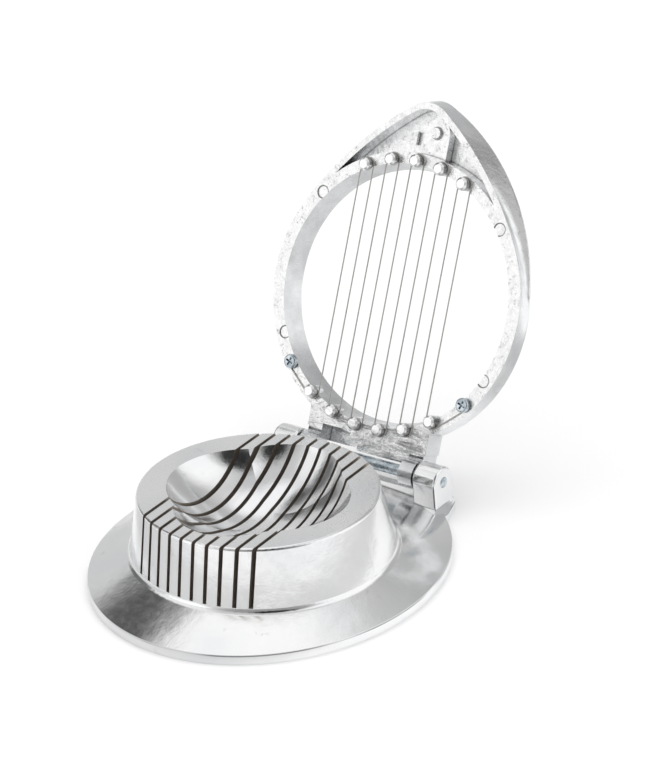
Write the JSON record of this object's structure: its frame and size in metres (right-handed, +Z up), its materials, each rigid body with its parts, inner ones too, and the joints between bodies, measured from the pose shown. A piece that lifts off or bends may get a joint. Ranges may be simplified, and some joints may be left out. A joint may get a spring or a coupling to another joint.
{
  "type": "egg slicer",
  "caption": "Hinged egg slicer: slotted oval drum with an egg bowl on a sloping flange, and a pointed ring frame strung with parallel cutting wires.",
  "frame": {"origin": "on the ground, under the middle of the open tool's outline", "axes": "+Z up, +Y from the flange's front to the hinge, +X along the hinge pin to the right as seen from the front"},
  "size_m": [0.1206, 0.1801, 0.1249],
  "materials": {
    "polished_aluminium": "polished",
    "cast_aluminium": "tumbled casting",
    "zinc_steel": "bright zinc plate",
    "stainless_wire": "drawn"
  },
  "bodies": {
    "base": {"base_casting": "polished_aluminium", "hinge_pin": "zinc_steel"},
    "frame": {"wire_frame": "cast_aluminium", "cutting_wire": "stainless_wire", "clamp_screw_left": "zinc_steel", "clamp_screw_right": "zinc_steel"}
  },
  "joints": [
    {"name": "frame_hinge", "type": "hinge", "parent": "base", "child": "frame", "pos_m": [0, 0.0269, 0.013], "axis": [1, 0, 0], "range_deg": [0, 115.8]}
  ]
}
